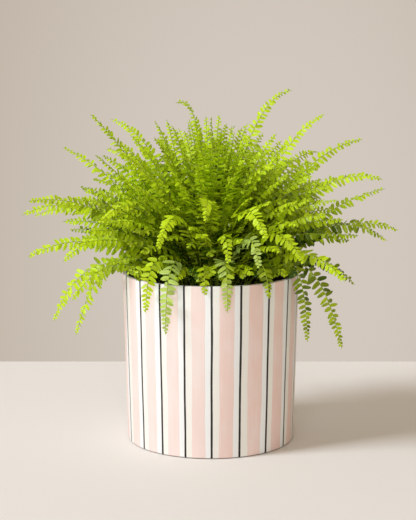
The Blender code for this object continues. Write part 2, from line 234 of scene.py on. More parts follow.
# %% The lights
# Each lamp's place, size and power in watts.
LAMPS = {"key": (Vector((-5.79, -2.22, 5.23)), 2.2, 575),
         "front": (Vector((-0.34, -3.88, 1.1)), 2.0, 64)}
LAMP_AIM = Vector((0, 0, 0.2))
LAMP_COLOUR = (0.86, 0.92, 1.0)
ROOM_COLOUR = (1.0, 0.75, 0.44, 1)
ROOM_STRENGTH = 0.335

for name, (place, size, power) in LAMPS.items():
    turn = (LAMP_AIM - place).to_track_quat("-Z", "Y").to_euler()
    bpy.ops.object.light_add(type="AREA", location=place, rotation=turn)
    lamp = bpy.context.object
    lamp.name = name
    lamp.data.size = size
    lamp.data.energy = power
    lamp.data.color = LAMP_COLOUR
    print(name, "lamp:", power, "W")
world = bpy.data.worlds.new("room")
world.use_nodes = True
background = world.node_tree.nodes["Background"]
background.inputs["Color"].default_value = ROOM_COLOUR
background.inputs["Strength"].default_value = ROOM_STRENGTH
bpy.context.scene.world = world

# %% [markdown]
# Every piece below starts as a primitive and is shaped in edit mode. The operators act on what is
# selected, so two helpers come first: one that starts a piece with nothing else selected, and one
# that selects the faces, edges or points that pass a test.


# %% Helpers for modelling
def start_piece(name, add, **sizes):
    """Adds a primitive, puts its place and size in its mesh and opens it in edit mode."""
    bpy.ops.object.select_all(action="DESELECT")
    add(calc_uvs=False, **sizes)
    piece = bpy.context.object
    piece.name = piece.data.name = name
    bpy.ops.object.transform_apply()
    bpy.ops.object.mode_set(mode="EDIT")
    return piece


def select(piece, kind, test):
    bpy.ops.mesh.select_mode(type=kind)
    bm = bmesh.from_edit_mesh(piece.data)
    things = {"VERT": bm.verts, "EDGE": bm.edges, "FACE": bm.faces}[kind]
    chosen = [thing for thing in things if test(thing)]
    bpy.ops.mesh.select_all(action="DESELECT")
    for thing in chosen:
        thing.select_set(True)
    bm.select_flush_mode()
    bmesh.update_edit_mesh(piece.data)


def faces_up(face):
    return face.normal.z > 0.9


def end_piece(piece, finish, smooth_angle=40):
    bpy.ops.mesh.select_all(action="SELECT")
    bpy.ops.mesh.normals_make_consistent(inside=False)
    bpy.ops.object.mode_set(mode="OBJECT")
    bpy.ops.object.shade_smooth_by_angle(angle=math.radians(smooth_angle))
    piece.data.materials.append(finish.material)
    print(piece.name, "has", len(piece.data.polygons), "faces")


# %% [markdown]
# The pot is a slightly tapered cylinder, 5 mm thick. It could be turned from a profile, or cut from
# a cylinder. A cylinder with its top widened, inset and pushed down to the floor keeps every edge
# where a potter has it, and leaves only the lip and the foot to round off.

# %% The pot's shape
POT_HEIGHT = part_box("pot")[1].z
RIM_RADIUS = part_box("pot")[1].x
FOOT_RADIUS = 95.5 * MM
POT_WALL = 5 * MM
POT_FLOOR = 7 * MM
LIP_ROUND = 1.4 * MM
FOOT_ROUND = 2.2 * MM
POT_SIDES = 144
TINY = 0.01 * MM

glaze = Finish("glazed_ceramic")
pot = start_piece("pot_shell", bpy.ops.mesh.primitive_cylinder_add, vertices=POT_SIDES,
                  radius=FOOT_RADIUS, depth=POT_HEIGHT, location=(0, 0, POT_HEIGHT / 2))
select(pot, "FACE", faces_up)
taper = RIM_RADIUS / FOOT_RADIUS
bpy.ops.transform.resize(value=(taper, taper, 1), center_override=(0, 0, POT_HEIGHT))
bpy.ops.mesh.inset(thickness=POT_WALL)
bpy.ops.mesh.extrude_region_move(TRANSFORM_OT_translate={"value": (0, 0, POT_FLOOR - POT_HEIGHT)})
inner_taper = (FOOT_RADIUS - POT_WALL) / (RIM_RADIUS - POT_WALL)
bpy.ops.transform.resize(value=(inner_taper, inner_taper, 1), center_override=(0, 0, POT_FLOOR))


def goes_round(edge, height):
    """Whether an edge lies at a height and runs round the pot's axis."""
    first, second = (vert.co for vert in edge.verts)
    level = max(abs(first.z - height), abs(second.z - height)) < TINY
    return level and abs(first.xy.length - second.xy.length) < TINY


for height, rounding in ((POT_HEIGHT, LIP_ROUND), (0, FOOT_ROUND)):
    select(pot, "EDGE", lambda edge: goes_round(edge, height))
    bpy.ops.mesh.bevel(offset=rounding, segments=4)
end_piece(pot, glaze)

# %% [markdown]
# The stripes are painted by hand: a fine black line about every eighteen degrees, and midway
# between two lines a broad pink band on the bare cream glaze. The lines that the front shows are a
# little uneven, so their angles are written down, and the hidden ones are spaced evenly. A UV map
# unrolls the wall with one unit for each stripe, so the finish only has to draw a single stripe.

# %% A UV map that counts the stripes
FRONT_LINES = [-70.4, -50.9, -33.6, -16.9, 0.5, 19.05, 39.35, 58.3]
LINE_COUNT = 20

hidden = LINE_COUNT - len(FRONT_LINES)
gap = (FRONT_LINES[0] + 360 - FRONT_LINES[-1]) / (hidden + 1)
line_angles = FRONT_LINES + [FRONT_LINES[-1] + gap * (k + 1) for k in range(hidden + 1)]


def angle_of(point):
    return math.degrees(math.atan2(point.x, -point.y))


def stripe_at(point, near):
    """How many stripes round the point is, on the same turn as the angle near."""
    angle = angle_of(point)
    angle += 360 * round((near - angle) / 360)
    turns = math.floor((angle - FRONT_LINES[0]) / 360)
    return np.interp(angle - 360 * turns, line_angles, range(LINE_COUNT + 1)) + LINE_COUNT * turns


stripes = pot.data.uv_layers.new(name="stripes")
for face in pot.data.polygons:
    near = angle_of(face.center)
    for corner in face.loop_indices:
        point = pot.data.vertices[pot.data.loops[corner].vertex_index].co
        stripes.data[corner].uv = (stripe_at(point, near), point.z / POT_HEIGHT)
print("lines at", [round(angle, 1) for angle in line_angles[:-1]])

# %% [markdown]
# The glaze is a satin cream white, a shade greyer on the right of each line. The pink is thinner in
# some places than others, as brushed slip is. A few bands side by side on the left of the front, and
# again half way round, are paled by a painted highlight. The pink's edges and the black lines
# wander by less than a millimetre. Where the paint lies it stands a hair proud, which a small bump
# shows. The inside of the pot is painted dark as shade, and a thin ring at the very foot is painted
# dark as contact shade. A pair of numbers says where a colour starts and ends.

# %% The pot's finish
CREAM = (0.80, 0.795, 0.775, 1)
GREIGE = (0.80, 0.77, 0.705, 1)
GREIGE_TO_CREAM = (0.38, 0.60)
PINK = (0.795, 0.572, 0.50, 1)
PALE_PINK = (0.80, 0.645, 0.585, 1)
PINK_TO_PALE = (0.38, 0.68)
STREAK_SHARE = 0.45
# painted highlight: the pink paled on a few bands at the left of the front, and again half way round
HIGHLIGHT_PINK = (0.79, 0.705, 0.67, 1)
HIGHLIGHT_EVERY = 10
HIGHLIGHT_MIDDLE = 1.5
HIGHLIGHT_ENDS = (1.0, 3.2)
HIGHLIGHT_SHARE = 0.45
# painted shade: the inside wall and floor of the pot are dark
INSIDE_SHADE = (0.09, 0.07, 0.05, 1)
INSIDE_SHADE_TO_LIP = (0.4 * MM - POT_WALL, 1.6 * MM - POT_WALL)
LIP_TO_OUTSIDE = (-FOOT_ROUND, -FOOT_ROUND * 0.6)
# painted contact shade: a thin dark ring at the very foot
FOOT_SHADE = (0.11, 0.08, 0.055, 1)
FOOT_SHADE_HEIGHT = 1.0 * MM
LINE_COLOUR = (0.016, 0.010, 0.006, 1)
LINE_HALF = 0.033
LINE_FEATHER = 0.022
LINE_WANDER = 0.06
BAND_START = 0.262
BAND_END = 0.752
BAND_WANDER = 0.13
BAND_FEATHER = 0.012
SATIN = 0.34
SATIN_VARIES = 0.12
LINE_PROUD, BAND_PROUD, PATCH_PROUD = 0.6, 0.25, 0.3
PAINT_HEIGHT = 0.15 * MM

turn, height, _ = glaze.parts(glaze.wire("ShaderNodeUVMap", 0, {"uv_map": "stripes"}))


def wall_noise(across, upright, layer, scale, detail=2):
    """Noise on the unrolled wall. Each layer is another slice of it, unlike the others."""
    place = glaze.wire("ShaderNodeCombineXYZ", 0, None, {0: across, 1: height * upright, 2: layer})
    return glaze.noise(place, scale, detail)


line_turn = turn + (wall_noise(turn * 0.5, 0.9, 0.0, 2.0, 1) - 0.5) * LINE_WANDER
past_line = line_turn - math.floor(line_turn)
to_line = abs(line_turn - round(line_turn))
feather = wall_noise(turn * 0.4, 4, 3.0, 3.0) * LINE_FEATHER
line = 1 - glaze.ease(to_line, LINE_HALF, LINE_HALF + feather)

which = math.floor(turn)
within = turn - which
band_start = (wall_noise(which * 3.7, 1.1, 5.0, 2.3) - 0.5) * BAND_WANDER + BAND_START
band_end = (wall_noise(which * 5.1, 1.1, 9.0, 2.3) - 0.5) * BAND_WANDER + BAND_END
started = glaze.ease(within - band_start, 0.0, BAND_FEATHER)
ended = glaze.ease(within - band_end, 0.0, BAND_FEATHER)
in_band = started * (1 - ended)
streaks = wall_noise(turn * 9, 0.8, 1.0, 3.0, 3)
patches = wall_noise(turn * 0.8, 2.2, 2.0, 2.0)
thin = glaze.ease(streaks * STREAK_SHARE + patches * (1 - STREAK_SHARE), *PINK_TO_PALE)

flattened = glaze.wire("ShaderNodeVectorMath", 0, {"operation": "MULTIPLY"},
                       {0: glaze.place(), 1: (1, 1, 0)})
from_axis = glaze.wire("ShaderNodeVectorMath", "Value", {"operation": "LENGTH"}, {0: flattened})
past_wall = from_axis - (FOOT_RADIUS + (RIM_RADIUS - FOOT_RADIUS) * height)
outside = glaze.ease(past_wall, *LIP_TO_OUTSIDE)
# mask of the painted shade inside the pot
inside = 1 - glaze.ease(past_wall, *INSIDE_SHADE_TO_LIP)
# mask of the painted highlight on a few pink bands
painted_highlight = 1 - glaze.ease(abs(which % HIGHLIGHT_EVERY - HIGHLIGHT_MIDDLE), *HIGHLIGHT_ENDS)
pink = glaze.mix(painted_highlight * HIGHLIGHT_SHARE, glaze.mix(thin, PINK, PALE_PINK), HIGHLIGHT_PINK)
glazed = glaze.mix(glaze.ease(past_line, *GREIGE_TO_CREAM), GREIGE, CREAM)
painted = glaze.mix(in_band * outside, glazed, pink)
lined = glaze.mix(line * outside, painted, LINE_COLOUR)
# mask of the painted contact shade at the foot
foot = 1 - glaze.ease(height * POT_HEIGHT, FOOT_SHADE_HEIGHT * 0.7, FOOT_SHADE_HEIGHT)
proud = line * LINE_PROUD + in_band * BAND_PROUD + patches * PATCH_PROUD
glaze.surface(base_color=glaze.mix(inside, glaze.mix(foot, lined, FOOT_SHADE), INSIDE_SHADE),
              roughness=streaks * SATIN_VARIES + SATIN, specular=0.35,
              normal=glaze.bump(proud, PAINT_HEIGHT))
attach(pot, "root")
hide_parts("pot")

# %% [markdown]
# The soil fills the pot to a little more than two centimetres below the rim. It is hardly seen
# between the stalks, so a disc of rings whose points are shaken a little is enough, with the crumbs
# in its bump.

# %% The soil
SOIL_TOP = POT_HEIGHT - 24 * MM
SOIL_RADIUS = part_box("soil")[1].x
SOIL_LOW_RADIUS = FOOT_RADIUS - POT_WALL - 0.4 * MM
SOIL_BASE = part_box("soil")[0].z
SOIL_RINGS = 11
SOIL_RINGS_WIDTH = SOIL_RADIUS * 0.95
SOIL_RIM = 1 * MM
SOIL_SHAKE = 1.6 * MM
WET_SOIL = (0.010, 0.006, 0.004, 1)
DRY_SOIL = (0.085, 0.052, 0.032, 1)
GRAINS = 260
LUMPS = 320
LUMP_SHARE = 0.6
CRUMB_HEIGHT = 1.2 * MM

earth = Finish("potting_soil")
soil = start_piece("soil_bed", bpy.ops.mesh.primitive_cylinder_add, vertices=72,
                   radius=SOIL_LOW_RADIUS, depth=SOIL_TOP - SOIL_BASE,
                   location=(0, 0, (SOIL_TOP + SOIL_BASE) / 2))
select(soil, "FACE", faces_up)
widen = SOIL_RADIUS / SOIL_LOW_RADIUS
bpy.ops.transform.resize(value=(widen, widen, 1), center_override=(0, 0, SOIL_TOP))
for ring in range(SOIL_RINGS):
    bpy.ops.mesh.inset(thickness=SOIL_RINGS_WIDTH / SOIL_RINGS)
bpy.ops.mesh.poke()
select(soil, "VERT", lambda vert: (vert.co.z > SOIL_TOP - SOIL_RIM
                                   and vert.co.xy.length < SOIL_RADIUS - SOIL_RIM))
bpy.ops.transform.vertex_random(offset=SOIL_SHAKE, seed=4)
end_piece(soil, earth, smooth_angle=60)

grain = earth.noise(earth.place(), GRAINS, 6)
lump = earth.cells(earth.place(), LUMPS)
earth.surface(base_color=earth.mix(grain, WET_SOIL, DRY_SOIL), roughness=0.95,
              normal=earth.bump(grain + lump * LUMP_SHARE, CRUMB_HEIGHT))
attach(soil, "root")
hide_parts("soil")

# %% [markdown]
# The rootstock is the low crown that the fronds grow from, brown and shaggy with dry scales. A
# squashed sphere gives its dome, and its lower half is pushed flat into the soil.

# %% The rootstock
STOCK_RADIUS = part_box("rootstock")[1].x
STOCK_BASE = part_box("rootstock")[0].z
STOCK_RISE = 9 * MM
STOCK_SMOOTH = 2 * MM
STOCK_SHAKE = 0.8 * MM
DEEP_BARK = (0.030, 0.018, 0.008, 1)
DRY_SCALE = (0.15, 0.085, 0.035, 1)
SCALES = 420
FIBRES = 500
SCALE_HEIGHT = 1.0 * MM

bark = Finish("rootstock")
stock = start_piece("crown", bpy.ops.mesh.primitive_uv_sphere_add, segments=64, ring_count=32,
                    radius=1, scale=(STOCK_RADIUS, STOCK_RADIUS, STOCK_RISE),
                    location=(0, 0, SOIL_TOP))
select(stock, "VERT", lambda vert: vert.co.z < SOIL_TOP - TINY)
deepen = (SOIL_TOP - STOCK_BASE) / STOCK_RISE
bpy.ops.transform.resize(value=(1, 1, deepen), center_override=(0, 0, SOIL_TOP))
select(stock, "VERT", lambda vert: (vert.co.z > SOIL_TOP and STOCK_SMOOTH < vert.co.xy.length
                                    < STOCK_RADIUS - STOCK_SMOOTH))
bpy.ops.transform.vertex_random(offset=STOCK_SHAKE, seed=9)
end_piece(stock, bark, smooth_angle=70)

scales = bark.cells(bark.place(), SCALES)
fibres = bark.noise(bark.place(), FIBRES, 4)
bark.surface(base_color=bark.mix(scales, DEEP_BARK, DRY_SCALE), roughness=0.85,
             normal=bark.bump(scales + fibres, SCALE_HEIGHT))
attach(stock, "root")
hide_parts("rootstock")

# %% [markdown]
# A leaflet is a thin oval blade, a little over twice as long as it is wide, on almost no stalk of
# its own, with a small ear at its base on the side of the frond's tip. Thousands are needed, so
# each model has only twenty faces: a grid of five by two whose rows are narrowed at both ends,
# folded a little along the middle and bent down at the tip, and a second skin that closes it from
# below, thickest under the midrib. Three models with another fold and bend keep the rows from
# looking stamped. Each is one unit long along X and one wide along Y, and is stretched when it is
# copied.

# %% Three leaflets
# The rows of points: where each lies along the leaflet, and how wide it is there.
LEAFLET_ROWS = [(0.0, 0.36), (0.12, 0.88), (0.34, 1.0), (0.60, 0.94), (0.84, 0.68), (0.98, 0.27)]
LEAFLET_THICKNESS = 0.05
TIP_POINT = 0.03
EAR = 0.10
TOUCHING = 0.01
# A row that has its new place is parked this far along X, where the next rows don't find it.
ASIDE = 10


def model_leaflet(name, fold, bend):
    """Points and faces of a leaflet. fold lifts the edges above the middle, bend lowers the tip."""
    leaflet = start_piece(name, bpy.ops.mesh.primitive_grid_add, x_subdivisions=5,
                          y_subdivisions=2, size=1, location=(0.5, 0, 0))

    def move(test, x, y, z):
        select(leaflet, "VERT", test)
        bpy.ops.transform.translate(value=(x, y, z))

    for row, (x, width) in enumerate(LEAFLET_ROWS):
        was = row / (len(LEAFLET_ROWS) - 1)
        select(leaflet, "VERT", lambda vert: abs(vert.co.x - was) < TOUCHING)
        bpy.ops.transform.resize(value=(1, width, 1), center_override=(was, 0, 0))
        bpy.ops.transform.translate(value=(ASIDE + x - was, 0, -bend * x * x))
    move(lambda vert: abs(vert.co.y) > TOUCHING, 0, 0, fold)
    move(lambda vert: vert.co.x > ASIDE + 0.9 and abs(vert.co.y) < TOUCHING, TIP_POINT, 0, 0)
    move(lambda vert: vert.co.x < ASIDE + 0.2 and vert.co.y > 0.3, 0, EAR, 0)
    move(lambda vert: True, -ASIDE, 0, 0)
    bpy.ops.mesh.duplicate()
    bpy.ops.mesh.flip_normals()
    move(lambda vert: vert.select and not vert.is_boundary, 0, 0, -LEAFLET_THICKNESS)
    bpy.ops.mesh.select_all(action="SELECT")
    bpy.ops.mesh.remove_doubles(threshold=TOUCHING / 10)
    bpy.ops.object.mode_set(mode="OBJECT")
    points = np.array([vert.co for vert in leaflet.data.vertices])
    faces = [tuple(face.vertices) for face in leaflet.data.polygons]
    bpy.data.objects.remove(leaflet)
    print(name, "has", len(faces), "faces and hangs down by", round(-points[:, 2].min(), 3))
    return points, faces


def mirrored(leaflet):
    points, faces = leaflet
    return points * (1, -1, 1), [face[::-1] for face in faces]


LEFT_LEAFLETS = [model_leaflet("leaflet_flat", 0.035, 0.10),
                 model_leaflet("leaflet_folded", 0.085, 0.16),
                 model_leaflet("leaflet_domed", -0.05, 0.22)]
RIGHT_LEAFLETS = [mirrored(leaflet) for leaflet in LEFT_LEAFLETS]

# %% [markdown]
# A frond's stalk leaves the rootstock, rises towards its crest and arches over to its tip. Three
# points say all of that, as handles of a quadratic curve: it leaves the root towards the crest, and
# comes to the tip from the crest. The face of the frond turns a little to the light as it goes. The
# curve is walked by length and not by its own parameter, so that a step is as long at the tip as at
# the foot.

# %% The curve that a frond follows
TURNED_BY = 0.6


class Rib:
    SAMPLES = 48

    def __init__(self, root, crest, tip, half_width, pitch, roll):
        self.root, self.crest, self.tip = root, crest, tip
        self.half_width, self.pitch, self.roll = half_width, pitch, roll
        self.across = Vector((root.y - tip.y, tip.x - root.x, 0)).normalized()
        places = [self.place(i / self.SAMPLES) for i in range(self.SAMPLES + 1)]
        self.run = [0.0]
        for before, after in zip(places, places[1:]):
            self.run.append(self.run[-1] + (after - before).length)
        self.length = self.run[-1]

    def place(self, t):
        return self.root * (1 - t) ** 2 + self.crest * (2 * t * (1 - t)) + self.tip * t ** 2

    def heading(self, t):
        return ((self.crest - self.root) * (1 - t) + (self.tip - self.crest) * t).normalized()

    def at(self, share):
        """Place, side and upward directions at a share of the length."""
        goal = min(max(share, 0), 1) * self.length
        i = min(bisect_right(self.run, goal) - 1, self.SAMPLES - 1)
        t = (i + (goal - self.run[i]) / (self.run[i + 1] - self.run[i])) / self.SAMPLES
        ahead = self.heading(t)
        side = (self.across - ahead * self.across.dot(ahead)).normalized()
        up = ahead.cross(side)
        angle = self.roll * min(1, share / TURNED_BY)
        return (self.place(t), side * math.cos(angle) + up * math.sin(angle),
                up * math.cos(angle) - side * math.sin(angle))


# %% [markdown]
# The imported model's fronds were bent clear of each other one by one: each tries its own place
# first, then a spiral of small turns and lifts, and takes the first at which the flat sleeve round
# its leaflets meets nothing. The same rule with the same numbers gives the same curves here, so the
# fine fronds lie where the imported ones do.

# %% The outline of a frond
BARE_SHARE = 0.22
STALK_HALF_WIDTH = 1.2 * MM
TIP_HALF_WIDTH = 0.45 * MM
STALK_DEPTH = 2.0 * MM
BLADE_THICKNESS = 0.7 * MM
FIRST_LEAFLET = 0.62
LONGEST_AT = 0.3
LAST_LEAFLET = 0.2
TAPER_POWER = 1.5
LEAFLET_DROOP = 0.16
LEAFLET_POINT = 0.72
END_LEAFLET = 0.8
FEWEST_PAIRS = 4
SLEEVE_ROOM = 0.5 * MM


def leaflet_length(rib, share):
    """Leaflets are longest a third of the way along the leafy stretch and shorten to the tip."""
    along = (share - BARE_SHARE) / (1 - BARE_SHARE)
    if along < 0:
        return 0
    if along < LONGEST_AT:
        return rib.half_width * (FIRST_LEAFLET + (1 - FIRST_LEAFLET) * along / LONGEST_AT)
    taper = ((along - LONGEST_AT) / (1 - LONGEST_AT)) ** TAPER_POWER
    return rib.half_width * (1 - (1 - LAST_LEAFLET) * taper)


def between(first, second, share):
    return first + (second - first) * share


def rib_half_width(share):
    return between(STALK_HALF_WIDTH, TIP_HALF_WIDTH, share)


def blade_depth(share):
    return between(BLADE_THICKNESS, STALK_DEPTH, 1 - math.sqrt(share))


def stations(rib):
    """Where pairs of leaflets start, as shares of the length, and the step between them."""
    pairs = max(FEWEST_PAIRS, round(rib.length * (1 - BARE_SHARE) / rib.pitch))
    step = (1 - BARE_SHARE) / (pairs + END_LEAFLET)
    return [0, BARE_SHARE / 2] + [BARE_SHARE + k * step for k in range(pairs + 1)], step


def outline_point(rib, share, sign, leaflet):
    """The edge of the rib, or the point of a leaflet of some length beyond it."""
    place, side, up = rib.at(share)
    out = side * sign * (rib_half_width(share) + leaflet)
    return place + out - up * LEAFLET_DROOP * leaflet, up


def sleeve(rib):
    """Points and faces of a closed web over the frond's leaflets, with a little room all round."""
    shares, step = stations(rib)
    points, faces = [], []
    for k, share in enumerate(shares + [1]):
        leafy = 1 < k < len(shares) - 1
        place, _, up = rib.at(share)
        ring = [(place, up)]
        for sign in (-1, 1):
            at = share + step * LEAFLET_POINT if leafy else share
            edge, up = outline_point(rib, at, sign, leaflet_length(rib, at) if leafy else 0)
            ring.append((edge + (edge - place).normalized() * SLEEVE_ROOM, up))
        points += [point + up * SLEEVE_ROOM for point, up in ring]
        points += [point - up * (SLEEVE_ROOM + blade_depth(share)) for point, up in ring]
    ring_points = len(ring) * 2
    below = len(ring)
    for start in range(0, len(points) - ring_points, ring_points):
        for centre in (start, start + below):
            ahead = centre + ring_points
            for edge in (centre + 1, centre + 2):
                faces += [(centre, ahead, edge), (ahead, edge + ring_points, edge)]
        for edge in (start + 1, start + 2):
            faces.append((edge, edge + ring_points, edge + ring_points + below, edge + below))
    return points, faces


# %% The search for a free place
GOLDEN_ANGLE = math.radians(137.508)
STOCK_SIDES = 24
STOCK_RINGS = [STOCK_RADIUS * share for share in (0, 0.35, 0.65, 0.88, 1)]
STALK_FACES = 20
LEAN_TURN = math.radians(1.8)
LEAN_LIFT = 3.2 * MM
LEAN_SHRINK = 0.0016
UPRIGHT_TURN = math.radians(78)
SPREAD_TURN = math.radians(46)
SPREAD_REACH = 150 * MM
RANDOM_ROLL = math.radians(14)
BUD_FIELD = 51 * MM


def about_axis(reach, direction, height):
    return Vector((reach * math.cos(direction), reach * math.sin(direction), height))


def stock_height(radius):
    return SOIL_TOP + STOCK_RISE * (1 - (radius / STOCK_RADIUS) ** 2)


def packed_points(name):
    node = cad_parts[name]
    return [node.matrix_world @ vert.co for vert in node.data.vertices]


def packed_tree(name):
    faces = [tuple(face.vertices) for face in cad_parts[name].data.polygons]
    return BVHTree.FromPolygons(packed_points(name), faces)


def tube_faces(count, sides):
    """Faces between the rings of a tube of count points."""
    faces = []
    for start in range(0, count - sides, sides):
        for i in range(sides):
            a, b = start + i, start + (i + 1) % sides
            faces.append((a, b, b + sides, a + sides))
    return faces


def whole_stock():
    """The rootstock's outside before any hole was made in it."""
    points = [about_axis(radius, 2 * math.pi * i / STOCK_SIDES, stock_height(radius))
              for radius in STOCK_RINGS for i in range(STOCK_SIDES)]
    return BVHTree.FromPolygons(points, tube_faces(len(points), STOCK_SIDES))


class Room:
    """What stands already, so that the next frond can be bent clear of it."""

    def __init__(self):
        self.solids = [packed_tree("pot"), packed_tree("soil"), whole_stock()]
        self.points, self.faces, self.owners = [], [], []
        self.fronds = BVHTree.FromPolygons([(0, 0, 0)] * 3, [(0, 1, 2)])

    def clear(self, tree, owner):
        """Whether a sleeve meets nothing. Stalks of one owner may meet, since they are joined."""
        if any(tree.overlap(solid) for solid in self.solids):
            return False
        return all(mine < STALK_FACES and self.owners[face] == owner
                   for mine, face in tree.overlap(self.fronds))

    def take(self, points, faces, owner):
        self.owners += [owner] * len(faces)
        start = len(self.points)
        self.points += points
        self.faces += [tuple(start + i for i in face) for face in faces]
        self.fronds = BVHTree.FromPolygons(self.points, self.faces)


def frond_rib(root, direction, tip, crest, half_width, pitch, roll):
    outward = Vector((math.cos(direction), math.sin(direction), 0))
    return Rib(root, outward * crest[0] + UP * crest[1], outward * tip[0] + UP * tip[1],
               half_width, pitch, roll)


def bent_clear(make_rib, room, owner, tries):
    """The first rib in a spiral of turns and lifts whose sleeve is clear, or None."""
    for step in range(tries):
        spread = math.sqrt(step)
        turn = LEAN_TURN * spread * math.cos(step * GOLDEN_ANGLE)
        lift = LEAN_LIFT * spread * math.sin(step * GOLDEN_ANGLE)
        rib = make_rib(turn, lift, 1 - LEAN_SHRINK * step)
        points, faces = sleeve(rib)
        if room.clear(BVHTree.FromPolygons(points, faces), owner):
            room.take(points, faces, owner)
            return rib
    return None


def roll_of(direction, reach, draw):
    """Faces turn to the light in front, most of all on upright fronds that lean to the sides."""
    turn = between(UPRIGHT_TURN, SPREAD_TURN, min(1, reach / SPREAD_REACH))
    return turn * math.cos(direction) + draw.uniform(-RANDOM_ROLL, RANDOM_ROLL)


def bud_reach(crest_reach, crest_height):
    """The flatter a frond grows, the farther out it is rooted."""
    flatness = crest_reach / (crest_height - stock_height(STOCK_RADIUS))
    return BUD_FIELD * max(-1, min(1, flatness))


# %% [markdown]
# The long fronds give the plant its outline. Each was placed against the photograph, and the
# hidden ones at the back were spread like those in front. A frond is (direction, reach of the tip,
# height of the tip, reach of the crest, height of the crest), in degrees and millimetres. Direction
# 0 is to the right, 180 to the left and 270 to the front.

# %% The long fronds, listed
LEADERS = [
    # those that hang over the rim
    (176, 156, 115, 118, 262), (184, 181, 136, 138, 248), (350, 150, 108, 116, 262),
    (332, 121, 122, 116, 275), (245, 115, 141, 112, 272), (236, 116, 163, 110, 266),
    (279, 113, 166, 110, 266), (303, 114, 178, 108, 255), (258, 107, 190, 98, 250),
    (64, 160, 152, 118, 262), (116, 150, 138, 114, 262),
    # the left side, from low to high
    (197, 163, 163, 112, 240), (181, 214, 198, 120, 250), (171, 215, 245, 120, 286),
    (188, 212, 260, 118, 303), (199, 208, 280, 115, 292), (168, 173, 330, 88, 294),
    (200, 134, 328, 72, 284), (186, 138, 363, 70, 305), (160, 122, 362, 52, 345),
    # the right side, from low to high
    (352, 170, 174, 106, 240), (20, 152, 180, 104, 232), (319, 190, 200, 114, 262),
    (34, 200, 225, 128, 268), (342, 205, 230, 128, 283), (357, 212, 245, 120, 276),
    (5, 204, 287, 120, 270), (28, 188, 292, 110, 290), (352, 192, 299, 116, 325),
    (12, 178, 339, 97, 330), (350, 127, 371, 68, 343),
    # the top
    (8, 92, 396, 38, 391), (195, 40, 383, 2, 400), (300, 52, 360, 24, 345),
    (128, 40, 362, 20, 325), (172, 50, 363, 30, 292), (310, 40, 352, 22, 290),
    # those that lean to the front
    (294, 125, 214, 100, 285), (279, 118, 219, 92, 290), (323, 135, 285, 66, 262),
    (208, 180, 225, 112, 280), (225, 165, 262, 95, 318), (250, 160, 240, 90, 318),
    (268, 150, 268, 82, 330), (290, 165, 250, 90, 322), (306, 172, 235, 100, 300),
    (300, 132, 320, 66, 335), (264, 104, 336, 50, 345),
    # those that lean to the back
    (52, 190, 214, 116, 270), (96, 198, 226, 118, 276), (148, 188, 206, 116, 264),
    (74, 192, 262, 108, 300), (126, 196, 244, 112, 290), (106, 182, 292, 98, 312),
    (42, 176, 318, 100, 326), (138, 170, 322, 86, 322), (86, 150, 340, 70, 336),
]


# %% Where each long frond grows
BUD_COUNT = 90
BUD_ABOVE_STOCK = 1.5 * MM
UPRIGHT_HALF_WIDTH = 9.5 * MM
SPREAD_HALF_WIDTH = 13 * MM
LEADER_PITCH = 24 * MM
LEAN_TRIES = 140
CREST_FOLLOWS = 0.6


def bud_places():
    radii = [BUD_FIELD * math.sqrt((i + 0.5) / BUD_COUNT) for i in range(BUD_COUNT)]
    return [about_axis(radius, i * GOLDEN_ANGLE, stock_height(radius) + BUD_ABOVE_STOCK)
            for i, radius in enumerate(radii)]


def grow_leaders(room, draw):
    buds = bud_places()
    grown = []
    for degrees, *sizes in LEADERS:
        tip_reach, tip_height, crest_reach, crest_height = (size * MM for size in sizes)
        direction = math.radians(degrees)
        goal = about_axis(bud_reach(crest_reach, crest_height), direction, POT_HEIGHT)
        bud = min(buds, key=lambda place: (place - goal).length)
        buds.remove(bud)
        roll = roll_of(direction, tip_reach, draw)
        spread = min(1, tip_reach / SPREAD_REACH)
        half_width = between(UPRIGHT_HALF_WIDTH, SPREAD_HALF_WIDTH, spread)

        def lean(turn, lift, share):
            crest = (crest_reach, crest_height + lift * CREST_FOLLOWS)
            return frond_rib(bud, direction + turn, (tip_reach * share, tip_height + lift), crest,
                             half_width, LEADER_PITCH, roll)

        rib = bent_clear(lean, room, len(grown), LEAN_TRIES)
        if rib:
            grown.append(rib)
    return grown


# %% [markdown]
# The younger fronds fill the dome among the long ones, from its top down, each a golden angle from
# the last, as a plant's shoots are. Each grows out of the stalk of a long frond close by, because
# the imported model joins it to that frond, and one that finds no free place is left out.

# %% Where the younger fronds grow
YOUNG_COUNT = 108
DOME_BASE = 215 * MM
DOME_RADIUS = 132 * MM
DOME_HEIGHT = 142 * MM
DOME_INNER_SHARE = 0.68
YOUNG_HALF_WIDTH = 7.5 * MM
YOUNG_PITCH = 23 * MM
YOUNG_ARCH = 42 * MM
YOUNG_CREST_SHARE = 0.45
YOUNG_ROOT_SHARE = 0.25
YOUNG_HOSTS = 4
YOUNG_TRIES = 60
MOST_YOUNG = 4


def inside_stalk(rib):
    """A place low in the middle of a long frond's stalk."""
    foot, _, up = rib.at(0)
    above = rib.at(stations(rib)[0][1])[0]
    return foot.lerp(above, YOUNG_ROOT_SHARE) - up * (STALK_DEPTH / 2)


def arching_crest(reach, height):
    return reach * YOUNG_CREST_SHARE, (stock_height(0) + height) / 2 + YOUNG_ARCH


